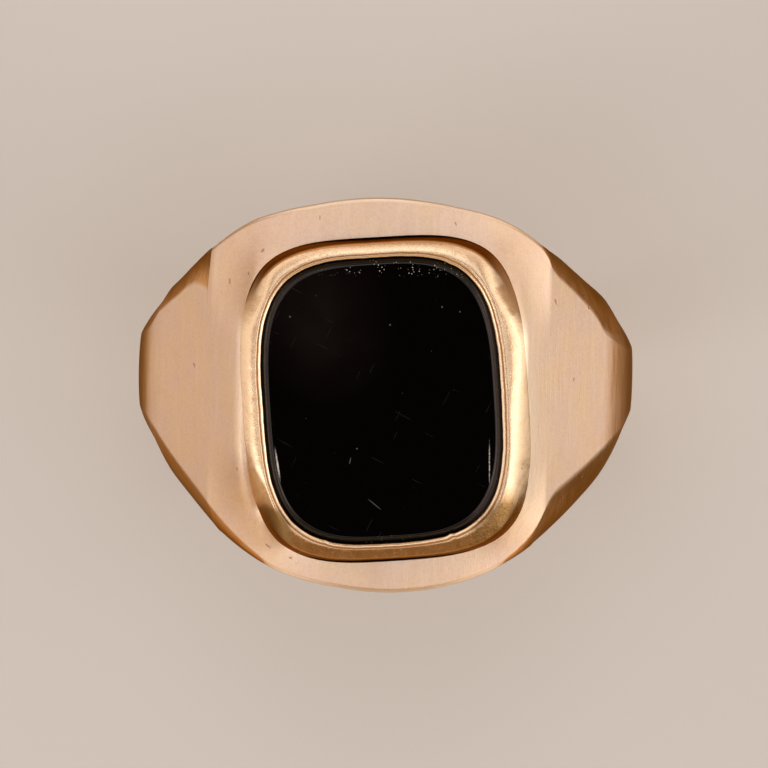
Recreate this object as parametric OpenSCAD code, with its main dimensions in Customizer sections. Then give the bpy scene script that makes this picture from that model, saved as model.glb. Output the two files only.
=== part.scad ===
// Gentleman's signet ring with a flat cushion-shaped onyx in a raised, rubbed-over collet.
// Frame: X across the finger, Y along the finger (the bore's axis), Z up through the stone.
// The origin is the centre of the finger bore. All lengths are millimetres.

/* [Finger bore and hoop] */
// Inside radius of the ring
bore_r = 9; // [8.6:0.1:9.2]
// Metal thickness at the back of the shank
back_t = 1.4; // [1.2:0.05:1.8]
// Metal thickness at the sides of the hoop
side_t = 1.54; // [1.46:0.02:1.8]
// Metal thickness of the head over the finger, without the collet
head_t = 2.15; // [2:0.05:2.4]

/* [Width along the finger] */
// Half width of the head at its middle
head_w = 8.25; // [7.95:0.05:8.8]
// Distance from the middle at which the head gives way to a shoulder
head_x = 7.1; // [6.9:0.05:7.3]
// Half width where each shoulder starts
shoulder_w = 5.95; // [5.8:0.05:6.1]
// Angle round the finger at which the shoulders have narrowed to the shank
hoop_at = 115; // [108:1:125]
// Half width of the shank at the back
back_w = 1.6; // [1.4:0.05:2]
// How far the head's side walls lean in towards the finger
undercut = 0.72; // [0.3:0.02:1]

/* [Shoulders and surface] */
// Slope of the flat flank from the collet down to the side of the hoop, in degrees from level
flank = 63; // [62:0.5:64]
// Radius of the head's own curve across the finger
head_curve = 13.4; // [12.4:0.2:14.4]
// Height above the finger's axis at which the flanks level off beside the collet
flank_top = 11.72; // [11.6:0.02:11.8]
// Half length along the finger over which the flanks climb to the collet
flank_y = 7.1; // [6.9:0.1:7.3]
// Distance over which that climb fades out towards the head's ends
flank_s = 5.4; // [5:0.1:5.6]
// Fall of the surface from its middle to its edge, at the head
head_crown = 0.15; // [0.05:0.01:0.3]
// The same, on the flanks
shoulder_crown = 0.15; // [0.05:0.01:0.25]
// The same, round the shank
shank_crown = 0.3; // [0.2:0.02:0.4]
// Width of the head's crisp edge
head_roll = 0.17; // [0.12:0.01:0.2]
// Width of the worn, rolled edge along each shoulder
shoulder_roll = 1.8; // [1.5:0.05:1.9]
// Greatest depth to which that edge is worn down
roll_deep = 0.88; // [0.75:0.01:0.95]
// Width of the rolled edge round the shank
shank_roll = 0.55; // [0.4:0.05:0.6]

/* [Collet] */
// Half width of the collet across the finger
collet_a = 5.94; // [5.8:0.02:6.1]
// Half length of the collet along the finger
collet_b = 6.66; // [6.56:0.02:6.8]
// Squareness of the collet's outline (2 is an ellipse)
collet_n = 3.6; // [3:0.1:4.5]
// Height of the collet's crest above the finger's axis
crest_z = 12.0; // [11.9:0.05:12.2]
// How much wider the collet is at its foot than at its rim
draft = 0.1; // [0.04:0.02:0.14]
// How far the setting is turned in the head, as the bench left it
setting_turn = 5.0; // [0:0.1:6]
// Offset of the collet's outside from the middle of the head [across, along]
collet_at = [0.19, -0.14];
// Offset of the stone and the opening from the middle of the head [across, along]
stone_at = [0.05, -0.13];

/* [Stone] */
// Half width of the stone across the finger
stone_a = 5.0; // [4.9:0.02:5.04]
// Half length of the stone along the finger
stone_b = 6.0; // [5.9:0.02:6.04]
// Squareness of the stone's outline
stone_n = 3.3; // [3:0.1:4.5]
// Width of the bevel round the table
bevel_w = 0.34; // [0.3:0.02:0.8]
// Height of that bevel
bevel_h = 0.22; // [0.16:0.02:0.4]
// Height of the flat table above the finger's axis
table_z = 11.8; // [11.7:0.05:11.85]

/* [Seat] */
// Height of the pocket's floor above the finger's axis
floor_z = 9.75; // [9.7:0.05:9.8]
// Thickness of the seat ring on which the stone rests
seat_t = 0.25; // [0.2:0.05:0.3]
// Width of that ring's ledge
seat_w = 0.75; // [0.5:0.05:1]
// Thickness of the cement between the stone and its seat
cement_t = 0.05; // [0.03:0.01:0.08]
// Thickness of the solder round the collet
solder_t = 0.06; // [0.04:0.01:0.08]
// Height of the solder above the pocket's floor
solder_h = 0.7; // [0.4:0.1:0.8]

/* [Hidden] */
gold = [0.86, 0.66, 0.50];
STEPS = 72;                 // points round the setting's outlines
lip = 0.08;                 // how far the rubbed-over lip covers the stone
play = 0.03;                // clearance between stone and collet wall
stone_z = floor_z + seat_t + cement_t;

// ---- small helpers
function clamp(v) = max(0, min(1, v));
function smooth(v) = let (c = clamp(v)) c * c * (3 - 2 * c);

// ---- the cast band, as sections through the finger's axis
// Angle t is measured at the axis from the top of the head: 0 is the head, 90 a side, 180 the back.
function soft_min(a, b, k) = let (h = clamp(0.5 + 0.5 * (b - a) / k)) b + (a - b) * h - k * h * (1 - h);
top_r = bore_r + head_t;
crease = atan(head_x / (top_r - head_x * head_x / 2 / head_curve));
function headness(t) = smooth((95 - t) / 70);
function head_r(t) = 2 * top_r / (cos(t) + sqrt(cos(t) * cos(t) + 2 * top_r * sin(t) * sin(t) / head_curve));
function flank_r(t) = t < flank
    ? (bore_r + side_t) / cos(min(60, flank - t))
    : bore_r + back_t + (side_t - back_t) * smooth((180 - t) / 90);
function base_r(t) = t < 75 ? soft_min(head_r(t), flank_r(t), 0.05) : flank_r(t);
function head_half(x) = head_w - (head_w - shoulder_w) * pow(x / head_x, 2.5);
function half_width(t) = t <= crease
    ? head_half((head_r(t) - head_fall(t)) * sin(t) * head_x / ((head_r(crease) - head_fall(crease)) * sin(crease)))
    : back_w + (shoulder_w - back_w) * (1 - smooth(pow(clamp((t - crease) / (hoop_at - crease)), 0.74)));
function head_fall(t) = head_crown + 0.1 * pow(min(t, crease) / crease, 2);
function fall(t, y) =   // how far the surface has dropped from its middle, at a place along the finger
    let (u = min(1, abs(y) / half_width(t)), k = smooth((t - 30) / 22),
         s = shank_crown + (shoulder_crown - shank_crown) * smooth((110 - t) / 50))
    (1 - k) * head_fall(t) * pow(u, 6) + k * s * pow(u, 2.4);
function roll(t) =      // width of the rolled edge
    head_roll + (shank_roll + (shoulder_roll - shank_roll) * smooth((112 - t) / 50) - head_roll) * smooth((t - crease + 0.4) / 4.5);
function roll_depth(t) = min(roll_deep, 0.03 + 0.52 * roll(t));

// the outside at a place along the finger; near the collet the flat flanks rise above the head's own curve
function skin_r(t, y) =
    let (h = base_r(t), top = soft_min(flank_r(t), flank_top / max(0.2, cos(t)), 0.35),
         climb = smooth((flank_y - abs(y)) / flank_s) * smooth((t - 12) / 14))
    (t < 60 ? h + max(0, top - h) * climb : h) - fall(t, y);

flats = [0, 0.25, 0.46, 0.63, 0.76, 0.87, 0.96];
rolls = [0, 28, 52, 72, 90];
function half_section(t) =   // from the middle of the outside, round one edge, to the middle of the inside: [y, r]
    let (w = half_width(t), q = roll(t), d = roll_depth(t), wi = w - 0.08 - undercut * headness(t), k = 0.1 * headness(t),
         re = skin_r(t, w) - d)
    concat([for (f = flats) let (y = f * (w - q)) [y, skin_r(t, y)]],
           [for (g = rolls) let (y = w - q + q * sin(g)) [y, skin_r(t, y) - d * (1 - cos(g))]],
           [[(w + wi) / 2 - k, (re + bore_r + 0.25) / 2], [wi, bore_r + 0.25], [wi - 0.3, bore_r - 0.05], [wi - 0.5, bore_r - 0.7]]);
function section(t) =
    let (h = half_section(abs(t)), n = len(h))
    concat(h, [for (i = [n - 1 : -1 : 1]) [-h[i][0], h[i][1]]]);

half_angles = concat([for (t = [4 : 4 : 36]) t], [crease - 0.8, crease, crease + 0.8, crease + 2, crease + 3.4],
                     [for (t = [44 : 4 : 100]) t], [for (t = [107 : 7 : 178]) t]);
angles = concat([0], half_angles, [180], [for (i = [len(half_angles) - 1 : -1 : 0]) -half_angles[i]]);

module band_skin() {
    rows = [for (t = angles) [for (p = section(t)) [p[1] * sin(t), p[0], p[1] * cos(t)]]];
    n = len(rows);
    m = len(rows[0]);
    polyhedron(
        points = [for (r = rows) for (p = r) p],
        faces = [for (i = [0 : n - 1]) for (j = [0 : m - 1])
                 let (a = i * m + j, b = i * m + (j + 1) % m, c = ((i + 1) % n) * m + (j + 1) % m, d = ((i + 1) % n) * m + j)
                 each [[a, b, c], [a, c, d]]],
        convexity = 6);
}

// ---- outlines of the setting: a point every 360/STEPS degrees round a squared oval
function oval(a, b, n, t) = pow(pow(abs(cos(t)) / a, n) + pow(abs(sin(t)) / b, n), -1 / n);
function outline(a, b, n, at) = [for (i = [0 : STEPS - 1]) let (t = i * 360 / STEPS, r = oval(a, b, n, t)) at + [r * cos(t + setting_turn), r * sin(t + setting_turn)]];
function outer_line(g) = outline(collet_a + g, collet_b + g, collet_n, collet_at);
function inner_line(g) = outline(stone_a + g, stone_b + g, stone_n, stone_at);
function between(p, q, f) = [for (i = [0 : STEPS - 1]) p[i] + (q[i] - p[i]) * f];
function at_z(line, z) = [for (p = line) [p[0], p[1], z]];

module lathe_rings(rings, closed) {  // skins closed outlines one above another; closed joins the last to the first
    n = len(rings);
    m = STEPS;
    polyhedron(
        points = [for (r = rings) for (p = r) p],
        faces = concat(
            closed ? [] : [[for (j = [0 : m - 1]) j], [for (j = [m - 1 : -1 : 0]) (n - 1) * m + j]],
            [for (i = [0 : closed ? n - 1 : n - 2]) for (j = [0 : m - 1])
             let (a = i * m + j, b = i * m + (j + 1) % m, c = ((i + 1) % n) * m + (j + 1) % m, d = ((i + 1) % n) * m + j)
             each [[a, c, b], [a, d, c]]]),
        convexity = 4);
}

module cast_band() {
    color(gold)
    difference() {
        band_skin();
        rotate([90, 0, 0]) cylinder(r = bore_r, h = 40, center = true, $fn = 180);
        translate([0, 0, floor_z]) linear_extrude(height = 5) polygon(outer_line(draft + solder_t));
    }
}

// Fractions of the way from the collet's outside to its opening, with the drop below the crest.
rim = [[0.02, 0.6], [0.05, 0.38], [0.12, 0.2], [0.24, 0.09], [0.4, 0.025], [0.58, 0], [0.7, 0.035], [0.77, 0.12], [0.82, 0.14], [0.88, 0.12], [0.95, 0.18], [1, 0.32]];
module bezel_collet() {
    out = outer_line(0);
    foot = outer_line(draft);
    lip_line = inner_line(-lip);
    color(gold)
    lathe_rings(concat(
        [at_z(foot, floor_z), at_z(foot, floor_z + solder_h)],
        [for (k = rim) at_z(between(out, lip_line, k[0]), crest_z - k[1])],
        [at_z(lip_line, table_z - bevel_h + 0.1), at_z(inner_line(play), table_z - bevel_h + 0.04), at_z(inner_line(play), floor_z)]), true);
}

module seat_bearer() {
    color(gold)
    translate([0, 0, floor_z])
    linear_extrude(height = seat_t)
    difference() {
        polygon(inner_line(play - 0.01));
        polygon(inner_line(-seat_w));
    }
}

module onyx_stone() {
    color([0.05, 0.05, 0.06])
    lathe_rings([
        at_z(inner_line(-0.12), stone_z),
        at_z(inner_line(0), stone_z + 0.12),
        at_z(inner_line(0), table_z - bevel_h),
        at_z(inner_line(-bevel_w), table_z)], false);
}

module stone_cement() {
    color([0.75, 0.7, 0.6])
    translate([0, 0, floor_z])
    union() {
        linear_extrude(height = seat_t) polygon(inner_line(-seat_w - 0.01));
        translate([0, 0, seat_t]) linear_extrude(height = cement_t) polygon(inner_line(-0.1));
    }
}

module collet_solder() {
    color([0.9, 0.78, 0.6])
    translate([0, 0, floor_z])
    linear_extrude(height = solder_h)
    difference() {
        polygon(outer_line(draft + solder_t - 0.005));
        polygon(outer_line(draft + 0.005));
    }
}

cast_band();
bezel_collet();
seat_bearer();
onyx_stone();
stone_cement();
collet_solder();
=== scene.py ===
# Looks for the onyx signet ring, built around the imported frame. Lengths below are millimetres; meshes are made in metres.
import math
import bpy
import numpy as np
from mathutils import Matrix, Vector


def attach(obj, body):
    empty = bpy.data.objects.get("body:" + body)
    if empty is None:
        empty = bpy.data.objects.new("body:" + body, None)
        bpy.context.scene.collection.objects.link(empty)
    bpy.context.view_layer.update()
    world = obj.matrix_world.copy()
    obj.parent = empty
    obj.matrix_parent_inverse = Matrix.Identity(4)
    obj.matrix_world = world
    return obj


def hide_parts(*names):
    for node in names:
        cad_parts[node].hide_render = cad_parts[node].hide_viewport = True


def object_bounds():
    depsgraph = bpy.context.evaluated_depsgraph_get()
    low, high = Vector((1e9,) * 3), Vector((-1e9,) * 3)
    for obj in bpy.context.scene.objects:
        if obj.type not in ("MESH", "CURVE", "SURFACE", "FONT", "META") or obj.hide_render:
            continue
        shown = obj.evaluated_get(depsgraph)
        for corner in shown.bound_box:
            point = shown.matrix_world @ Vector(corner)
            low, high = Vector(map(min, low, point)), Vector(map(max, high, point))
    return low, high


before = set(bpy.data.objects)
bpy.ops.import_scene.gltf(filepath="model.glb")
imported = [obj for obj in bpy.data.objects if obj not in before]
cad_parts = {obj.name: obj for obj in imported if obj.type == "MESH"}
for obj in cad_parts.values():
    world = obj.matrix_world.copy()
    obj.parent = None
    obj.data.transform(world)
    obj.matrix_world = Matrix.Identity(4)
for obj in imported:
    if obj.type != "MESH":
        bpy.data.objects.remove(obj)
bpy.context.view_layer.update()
MM = 0.001

# ------------------------------------------------------------------ the ring's own shape
BORE_R, BACK_T, SIDE_T, HEAD_T = 9.0, 1.4, 1.54, 2.15
HEAD_W, SHOULDER_W, CREASE, HOOP_AT, BACK_W, UNDERCUT = 8.25, 5.98, 38.5, 118.0, 1.6, 0.72
FLANK, FLANK_Y, FLANK_S, FLANK_TOP = 63.0, 7.1, 5.0, 11.66
HEAD_R = {1: 15.5, -1: 12.6}                # the head curves over a little faster on its left
HEAD_CROWN, SHOULDER_CROWN, SHANK_CROWN = 0.15, 0.15, 0.3
COLLET_A, COLLET_B, COLLET_N, CREST_Z, DRAFT = 5.94, 6.66, 3.6, 12.0, 0.1
TURN = math.radians(5.0)
COLLET_AT, STONE_AT = np.array([0.19, -0.14]), np.array([0.05, -0.13])
STONE_A, STONE_B, STONE_N = 5.0, 6.0, 3.3
BEVEL_W, BEVEL_H, TABLE_Z, FLOOR_Z = 0.34, 0.22, 11.8, 9.75
SEAT_T, CEMENT_T, LIP, SOLDER_H = 0.25, 0.05, 0.08, 0.7
HEAD_EDGE = 0.17                            # the head's own edge: a narrow worn chamfer and a small round

# the hand-finished outline seen from above, per quarter (x sign, y sign): across the ring, half length along the finger
OUT = {(1, 1): ((0, 8.2), (1.5, 8.1), (3, 7.84), (4.5, 7.48), (5.5, 7.02), (6.5, 6.31), (7.25, 5.63), (8, 4.86), (8.8, 4.04), (9.5, 3.36), (10.0, 2.76), (10.19, 2.27), (10.3, 1.95), (10.41, 1.5), (10.46, 0)),
       (1, -1): ((0, 8.2), (1.5, 8.13), (3, 7.87), (4.5, 7.36), (5.5, 6.84), (6.5, 6.21), (7.25, 5.65), (8, 5.01), (8.75, 4.28), (9.43, 3.52), (9.99, 2.82), (10.27, 2.36), (10.4, 1.97), (10.45, 1.4), (10.47, 0)),
       (-1, 1): ((0, 8.2), (1.5, 8.09), (3, 7.8), (4.5, 7.42), (5.5, 7.06), (6.5, 6.39), (7.25, 5.72), (8, 4.92), (8.75, 4.02), (9.4, 3.23), (9.9, 2.62), (10.15, 2.22), (10.3, 1.9), (10.4, 1.5), (10.46, 0)),
       (-1, -1): ((0, 8.19), (1.5, 8.06), (3, 7.81), (4.5, 7.35), (5.5, 6.84), (6.5, 6.15), (7.25, 5.55), (8, 4.91), (8.75, 4.22), (9.4, 3.51), (9.9, 2.79), (10.15, 2.29), (10.3, 1.95), (10.41, 1.4), (10.46, 0))}
# where the worn, rolled edge begins: across the ring, distance from the middle along the finger
INNER = {(1, 1): ((6.85, 5.95), (6.92, 5.38), (7.18, 5.01), (7.51, 4.68), (7.9, 4.3), (8.2, 3.96), (8.55, 3.56), (9.0, 2.96), (9.27, 2.4), (9.5, 1.85), (10.0, 1.5), (10.6, 1.3)),
         (1, -1): ((4.6, 7.25), (4.98, 7.05), (5.51, 6.66), (6.04, 6.14), (6.5, 5.6), (6.76, 5.03), (6.95, 4.55), (7.3, 4.0), (7.8, 3.42), (8.17, 2.83), (8.5, 2.25), (8.9, 1.67), (9.4, 1.3), (10.6, 1.2)),
         (-1, 1): ((7.385, 5.6), (7.4, 3.94), (7.75, 4.06), (8.06, 4.12), (8.35, 3.95), (8.73, 3.55), (9.11, 3.19), (9.63, 2.6), (9.97, 2.08), (10.3, 1.6), (10.6, 1.4)),
         (-1, -1): ((4.1, 7.5), (4.46, 7.28), (4.93, 6.93), (5.78, 6.22), (6.56, 5.44), (7.46, 4.51), (8.58, 3.43), (9.2, 2.75), (9.7, 2.1), (10.6, 1.4))}
# small departures of the hoop's width from an even one, every 10 degrees round from the head; only those past 55 degrees are used
UNEVEN = {(1, 1): [0, 0, 0, 0, 0, -0.03, 0.02, 0.24, 0.48, 0.22, 0.04, 0, 0], (-1, 1): [0, 0, 0, 0, 0, -0.19, -0.33, -0.16, -0.04, -0.04, 0, 0, 0],
          (1, -1): [0, 0, 0, 0, 0, 0.43, 0.52, 0.52, 0.52, 0.20, 0.03, 0, 0], (-1, -1): [0, 0, 0, 0, 0, -0.21, -0.21, 0.04, 0.12, 0.02, 0, 0, 0]}


def smooth(v):
    c = np.clip(v, 0, 1)
    return c * c * (3 - 2 * c)


def softmin(a, b, k):
    h = np.clip(0.5 + 0.5 * (b - a) / k, 0, 1)
    return b + (a - b) * h - k * h * (1 - h)


def headness(t):
    return smooth((95 - t) / 70)


def head_r(t, sx):
    s, c = np.sin(np.radians(t)), np.cos(np.radians(t))
    h = BORE_R + HEAD_T
    return 2 * h / (c + np.sqrt(c * c + 2 * h * s * s / HEAD_R[sx]))


def plane_r(t):
    line = (BORE_R + SIDE_T) / np.cos(np.radians(np.clip(FLANK - t, 0, 60)))
    return np.where(t < FLANK, line, BORE_R + BACK_T + (SIDE_T - BACK_T) * smooth((180 - t) / 90))


def base_r(t, sx):
    return np.where(t < 75, softmin(head_r(np.minimum(t, 75), sx), plane_r(t), 0.05), plane_r(t))


def catmull(t, v):
    v = np.asarray(v, float)
    u = np.clip(np.asarray(t, float) / 10, 0, len(v) - 1 - 1e-9)
    i = u.astype(int)
    f = u - i
    p = np.concatenate([[v[1]], v, [v[-1]]])
    a, b, c, d = p[i], p[i + 1], p[i + 2], p[i + 3]
    return 0.5 * (2 * b + (c - a) * f + (2 * a - 5 * b + 4 * c - d) * f * f + (3 * b - a - 3 * c + d) * f ** 3)


def fall(t, y, w):
    u = np.minimum(1, np.abs(y) / w)
    k = smooth((t - 30) / 22)
    s = SHANK_CROWN + (SHOULDER_CROWN - SHANK_CROWN) * smooth((110 - t) / 50)
    return (1 - k) * (HEAD_CROWN + 0.1 * np.minimum(t / CREASE, 1) ** 2) * u ** 6 + k * s * u ** 2.4


def plain_r(t, y, w, sx):
    """The skin's radius before it is worked up to the collet and before its edges are rolled."""
    h = base_r(t, sx)
    top = softmin(plane_r(t), FLANK_TOP / np.maximum(0.2, np.cos(np.radians(t))), 0.35)
    climb = smooth((FLANK_Y - np.abs(y)) / FLANK_S) * smooth((t - 12) / 14)
    return np.where(t < 60, h + np.maximum(0, top - h) * climb, h) - fall(t, y, w)


def blurred(v, sigma):
    """Evened out along the table, sigma in table steps; level at its ends."""
    n = int(4 * sigma) + 1
    k = np.exp(-(np.arange(-n, n + 1) / sigma) ** 2 / 2)
    return np.convolve(np.pad(v, n, mode="edge"), k / k.sum(), mode="valid")


def across(t, sx):
    return base_r(t, sx) * np.sin(np.radians(np.minimum(t, 90)))


def drop_of(t, ln, start, sx, sharp):
    """How far the rolled edge comes down towards the finger; it starts shallow where it meets the head."""
    d = np.minimum(0.5 * ln + 0.06, 0.95)
    return np.minimum(d, 0.107 + (1.15 if sharp else 0.6) * np.maximum(0, across(t, sx) - start))


TT = np.arange(0, 180.01, 0.25)
EDGE_W, EDGE_LN, EDGE_DR = {}, {}, {}


def shape_at(s, ln, dr):
    """Drop at fraction s of the rolled edge: a chamfer and a small round on the head, a broad worn bevel on the shoulders."""
    y = s * ln
    small = 0.3 * np.minimum(y, ln - 0.08) + 0.08 * (1 - np.sqrt(np.maximum(0, 1 - np.clip((y - ln + 0.08) / 0.08, 0, 1) ** 2)))
    big = dr * (0.60 * s ** 1.1 + 0.40 * (1 - np.sqrt(np.maximum(0, 1 - s * s))))
    m = smooth((ln - 0.175) / 0.12)
    return (1 - m) * small + m * big


def solve_edges():
    """Find the half width at each angle so that the rolled edge, seen from above, just reaches the outline."""
    xs = np.linspace(0, 11, 1101)
    ss = np.sin(np.radians(np.linspace(0, 90, 15)))[:, None]
    for q in OUT:
        sx, sharp = q[0], q == (-1, 1)
        ox, oy = np.array(OUT[q], float).T
        oa, orad = np.arctan2(oy, ox)[::-1], np.hypot(ox, oy)[::-1]
        ang = np.linspace(0, math.pi / 2, 901)
        r_out = blurred(np.interp(ang, oa, orad), 16.0)
        ix, iy = np.array(INNER[q], float).T
        y_in = np.interp(xs, ix, iy)
        y_in = y_in if sharp else blurred(y_in, 9.0)
        x0 = ix[0]
        rest = BACK_W + (SHOULDER_W - BACK_W) * (1 - smooth(np.clip((TT - CREASE) / (HOOP_AT - CREASE), 0, 1) ** 0.66)) + catmull(TT, UNEVEN[q])
        x = across(TT, sx)
        sn = np.sin(np.radians(np.minimum(TT, 90)))
        b = smooth((TT - 76) / 11) if sx > 0 else smooth((TT - 71) / 15)
        w = np.where(TT < 40, np.interp(np.minimum(x, 8), ox, oy), rest)
        for n in range(160):
            ln = np.where(x < x0 - 0.004, HEAD_EDGE, np.maximum(HEAD_EDGE, w - np.interp(x, xs, y_in)))
            k = smooth((TT - 85) / 45)
            ln = np.minimum(ln, 2.2) * (1 - k) + 0.55 * k
            dr = drop_of(TT, ln, x0, sx, sharp)
            yy = w - ln * (1 - ss)
            xx = (plain_r(TT, yy, w, sx) - shape_at(ss, ln, dr)) * sn
            over = (np.hypot(xx, yy) - np.interp(np.arctan2(yy, xx), ang, r_out)).max(0)
            step = w - 0.35 * over / np.maximum(0.5, w / np.hypot(x, w))
            w = np.clip(step, 1.5, 8.6) * (1 - b) + rest * b
            w = blurred(w, 1.0) if n % 8 == 0 else w
        w, far = blurred(w, 2.0 if sharp else 4.0), smooth((TT - 56) / 12)
        EDGE_W[q] = w * (1 - far) + blurred(w, 18.0) * far
        EDGE_LN[q] = ln if sharp else blurred(ln, 4.0)
        EDGE_DR[q] = dr if sharp else blurred(dr, 4.0)


solve_edges()


def half_width(t, sx, sy):
    return np.interp(t, TT, EDGE_W[(sx, sy)])


def roll_len(t, sx, sy):
    return np.interp(t, TT, EDGE_LN[(sx, sy)])


def roll_drop(t, sx, sy):
    return np.interp(t, TT, EDGE_DR[(sx, sy)])


def roll_shape(s, t, ln, sx, sy):
    return shape_at(s, ln, roll_drop(t, sx, sy))


def oval(a, b, n, t):
    return ((np.abs(np.cos(t)) / a) ** n + (np.abs(np.sin(t)) / b) ** n) ** (-1 / n)


def outline(a, b, n, at, t, turn=TURN):
    r = oval(a, b, n, t)
    return np.stack([at[0] + r * np.cos(t + turn), at[1] + r * np.sin(t + turn)], -1)


def outward(line, by):
    """The closed line moved out along its own normals."""
    d = np.roll(line, -1, 0) - np.roll(line, 1, 0)
    nrm = np.stack([d[:, 1], -d[:, 0]], -1)
    return line + nrm / np.linalg.norm(nrm, axis=1)[:, None] * np.broadcast_to(by, len(line))[:, None]


def sideness(phi):
    """1 at the collet's left and right, 0 towards its ends."""
    return smooth((np.abs(np.cos(phi)) - 0.60) / 0.24)


# the collet's lines, shared with the skin that is worked up against it
NC = 480
tc = np.arange(NC) * 2 * math.pi / NC
SIDE = sideness(tc)
ripple = 0.010 * np.sin(7 * tc + 0.6) + 0.006 * np.sin(17 * tc + 2.1) + 0.004 * np.sin(41 * tc + 0.3) + 0.0025 * np.sin(83 * tc + 1.2)
out_line = outward(outline(COLLET_A, COLLET_B, COLLET_N, COLLET_AT, tc), 0.4 * ripple - 0.006)
lip_line = outward(outline(STONE_A - LIP, STONE_B - LIP, STONE_N, STONE_AT, tc), 0.75 * ripple)
# a small burr of metal pushed over the stone, low on the right, and two slighter ones
for at, wd, amt in ((-1.16, 0.018, 0.05), (-2.02, 0.014, 0.025), (1.05, 0.02, 0.02)):
    dist = np.angle(np.exp(1j * (tc - at)))
    lip_line = outward(lip_line, -amt * np.exp(-(dist / wd) ** 2))
wide = np.linalg.norm(out_line - lip_line, axis=1)
FC = 0.74                                   # where the crest is, from the outer edge in


def around(x, y):
    """Distance outside the collet's outline and the direction round it, for places (x, y)."""
    c, s = math.cos(TURN), math.sin(TURN)
    u, v = (x - COLLET_AT[0]) * c + (y - COLLET_AT[1]) * s, -(x - COLLET_AT[0]) * s + (y - COLLET_AT[1]) * c
    r = np.hypot(u, v) + 1e-9
    f = ((np.abs(u) / COLLET_A) ** COLLET_N + (np.abs(v) / COLLET_B) ** COLLET_N) ** (1 / COLLET_N)
    return r * (1 - 1 / np.maximum(f, 1e-3)), np.arctan2(v, u)


def plain_height(x, y):
    """Height of the skin, before it is worked up to the collet, at the place (x, y) on the head."""
    sx, sy = (1 if x >= 0 else -1), (1 if y >= 0 else -1)
    t = np.arange(0, 60.01, 0.25)
    r = plain_r(t, abs(y), half_width(t, sx, sy), sx)
    px, pz = r * np.sin(np.radians(t)), r * np.cos(np.radians(t))
    return float(np.interp(abs(x), px, pz))


PLAIN_Z = np.array([plain_height(*v) for v in out_line])
SIDE_D = CREST_Z - np.clip(PLAIN_Z - 0.02, 10.8, CREST_Z - 0.3 * wide)
SIDE_P = np.clip(1.24 * wide / np.maximum(SIDE_D - 0.17 * wide, 0.05), 1.5, 3.0)


def rim_drop(f):
    """Drop below the crest at fraction f of the way in: running down into the flanks at the sides, a round back with a steep outer wall at the ends."""
    u = np.clip((FC - f) / FC, 0, 1)
    cone = 0.17 * wide * u + (SIDE_D - 0.17 * wide) * u ** SIDE_P
    dome = 0.30 * wide * u ** (1.8 - 0.75 * smooth(-np.sin(tc) * 1.4 - 0.3)) + 0.62 * np.clip((0.21 - f) / 0.21, 0, 1) ** 1.35
    return cone * SIDE + dome * (1 - SIDE)


EDGE_Z = CREST_Z - rim_drop(0.0)
GAP_Z = EDGE_Z + 0.012 - PLAIN_Z


def skin_r(a, y, w):
    """The skin's radius at angle a (signed) and place y, worked up smoothly to the collet's own edge at its left and right."""
    t = np.abs(a)
    r = np.where(np.asarray(a) >= 0, plain_r(t, y, w, 1), plain_r(t, y, w, -1))
    x, z = r * np.sin(np.radians(a)), r * np.cos(np.radians(a))
    s, phi = around(x, y)
    up = np.interp(np.mod(phi, 2 * math.pi), np.append(tc, 2 * math.pi), np.append(GAP_Z, GAP_Z[0]))
    lift = sideness(phi) * up * np.exp(-(np.maximum(s, 0) / (0.35 + 0.9 * np.abs(up))) ** 1.3) * (t < 60)
    return r + lift / (np.cos(np.radians(a)) + 1.96 * smooth((t - 25) / 5) * np.sin(np.radians(t)))


def new_mesh(name, verts, faces):
    me = bpy.data.meshes.new(name)
    me.from_pydata([tuple(v) for v in verts * MM], [], faces)
    me.validate()
    me.update()
    me.shade_smooth()
    ob = bpy.data.objects.new(name, me)
    bpy.context.scene.collection.objects.link(ob)
    return ob


# ------------------------------------------------------------------ the cast band
def band_rows():
    half = np.concatenate([np.arange(0, 75, 0.5), np.arange(75, 180.01, 1.25)])
    t = np.concatenate([half, -half[1:-1][::-1]])      # 0 .. 180 .. back to 0 on the other side
    rows = []
    for a in t:
        b, sx = abs(a), (1 if a >= 0 else -1)
        half_sec = []
        for sy in (1, -1):
            # both sides of the head's middle share one outline
            w, ln = float(half_width(b, sx, sy)), float(roll_len(b, sx, sy))
            y_top = np.concatenate([np.linspace(0, w - ln - 0.03, 36), [w - ln]])
            q = float(smooth((ln - 0.175) / 0.12))
            s_small = np.concatenate([[0.06, 0.25, 0.42], 1 - 0.08 / ln * (1 - np.sin(np.radians(np.linspace(0, 90, 10))))])
            s = (1 - q) * s_small + q * np.concatenate([[0.03 / ln], np.sin(np.radians(np.linspace(0, 90, 13)[1:]))])
            y_roll = w - ln + ln * s
            drop = roll_shape(s, b, ln, sx, sy)
            yt = sy * np.concatenate([y_top, y_roll])
            r = skin_r(np.full_like(yt, a), yt, w)
            r[len(y_top):] -= drop
            r_end = r[-1]
            wi = w - 0.08 - UNDERCUT * float(headness(b))
            k = 0.1 * float(headness(b))
            low = BORE_R + 0.3
            g = np.linspace(0, 1, 9)[1:]
            y_wall = w + (wi - w) * g - k * 4 * g * (1 - g)
            r_wall = r_end + (low - r_end) * g
            e = np.linspace(0, 90, 6)[1:]
            y_in = wi - 0.3 * (1 - np.cos(np.radians(e)))
            r_in = low - 0.3 * np.sin(np.radians(e))
            y_bore = (wi - 0.3) * (1 - np.linspace(0, 1, 13)[1:])
            half_sec.append((np.concatenate([yt, sy * y_wall, sy * y_in, sy * y_bore]), np.concatenate([r, r_wall, r_in, np.full(12, BORE_R)])))
        (y1, r1), (y2, r2) = half_sec
        ys = np.concatenate([y1, y2[1:-1][::-1]])
        rs = np.concatenate([r1, r2[1:-1][::-1]])
        sn, cs = math.sin(math.radians(a)), math.cos(math.radians(a))
        rows.append(np.stack([rs * sn, ys, rs * cs], -1))
    return np.array(rows)


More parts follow.
